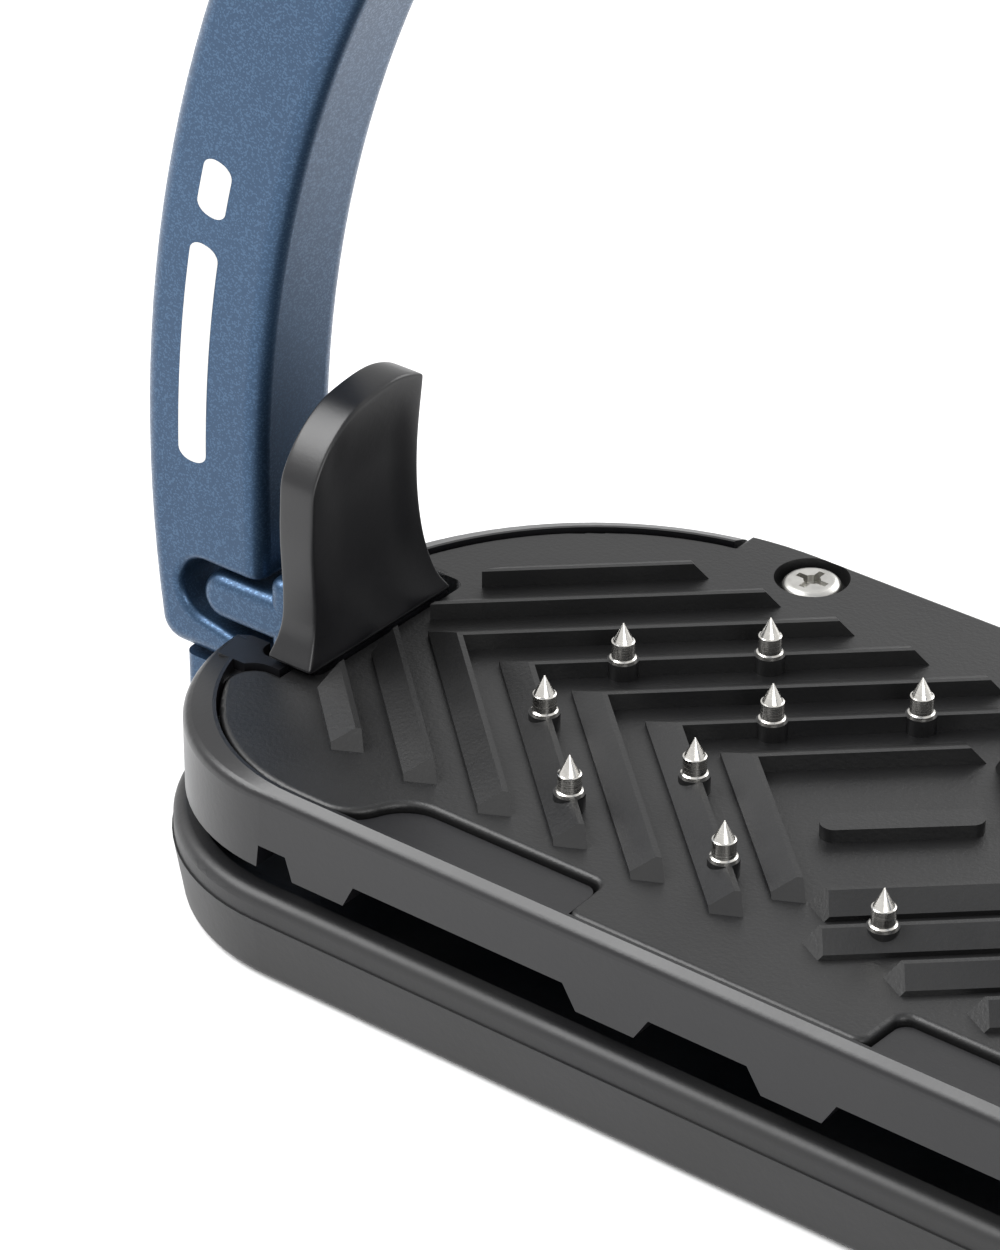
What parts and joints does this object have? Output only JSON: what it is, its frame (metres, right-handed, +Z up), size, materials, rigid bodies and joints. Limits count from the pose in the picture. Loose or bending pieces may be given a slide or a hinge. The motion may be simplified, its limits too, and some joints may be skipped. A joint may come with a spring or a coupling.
{
  "type": "stirrup iron",
  "caption": "Safety stirrup iron: arched metal frame with a leather eye, hinged outer arm hooked at its foot, release lever and a cushioned studded tread.",
  "frame": {"origin": "underside of the base tray, below the middle of the arch", "axes": "+Z up to the leather eye, X along the tread with the opening arm at -X, Y through the arch"},
  "size_m": [0.1486, 0.06, 0.1511],
  "materials": {
    "blue_metal": "satin, fine metallic grain",
    "blue_metal_arm": "satin, fine metallic grain",
    "stainless": "turned",
    "stud_steel": "turned, polished cone",
    "spring_steel": "plain",
    "bronze": "plain",
    "lever_plastic": "moulded satin",
    "bed_plastic": "moulded satin",
    "plate_plastic": "fine moulded grain",
    "tray_plastic": "moulded matt",
    "cushion_rubber": "plain"
  },
  "bodies": {
    "frame": {"main_frame": "blue_metal", "hinge_pin": "stainless", "hinge_screw": "stainless", "arm_spring": "spring_steel", "lever_pin": "stainless", "lever_springs": "spring_steel", "base_tray": "tray_plastic", "tray_screws": "stainless", "tread_cushions": "cushion_rubber", "guide_sleeves": "bronze"},
    "arm": {"release_arm": "blue_metal_arm", "arm_bush": "bronze"},
    "lever": {"release_lever": "lever_plastic", "latch_claw": "spring_steel"},
    "tread": {"tread_bed": "bed_plastic", "tread_plate": "plate_plastic", "studs_left": "stud_steel", "studs_right": "stud_steel", "plate_screws": "stainless", "plate_inserts": "bronze", "guide_screws": "stainless", "guide_inserts": "bronze"}
  },
  "joints": [
    {"name": "arm_swing", "type": "hinge", "parent": "frame", "child": "arm", "pos_m": [-0.04704, 0, 0.096], "axis": [0, 1, 0], "range_deg": [0, 70], "stiffness_Nm_per_rad": 0.02, "springref_deg": -28.65},
    {"name": "lever_tilt", "type": "hinge", "parent": "frame", "child": "lever", "pos_m": [-0.0533, 0, 0.0066], "axis": [0, -1, 0], "range_deg": [0, 8], "stiffness_Nm_per_rad": 0.03, "springref_deg": -14.32},
    {"name": "tread_cushion", "type": "slide", "parent": "frame", "child": "tread", "axis": [0, 0, -1], "range_m": [0, 0.0015], "stiffness_N_per_m": 4000, "springref_m": -0.001, "deforming": ["tread_cushions"]}
  ]
}
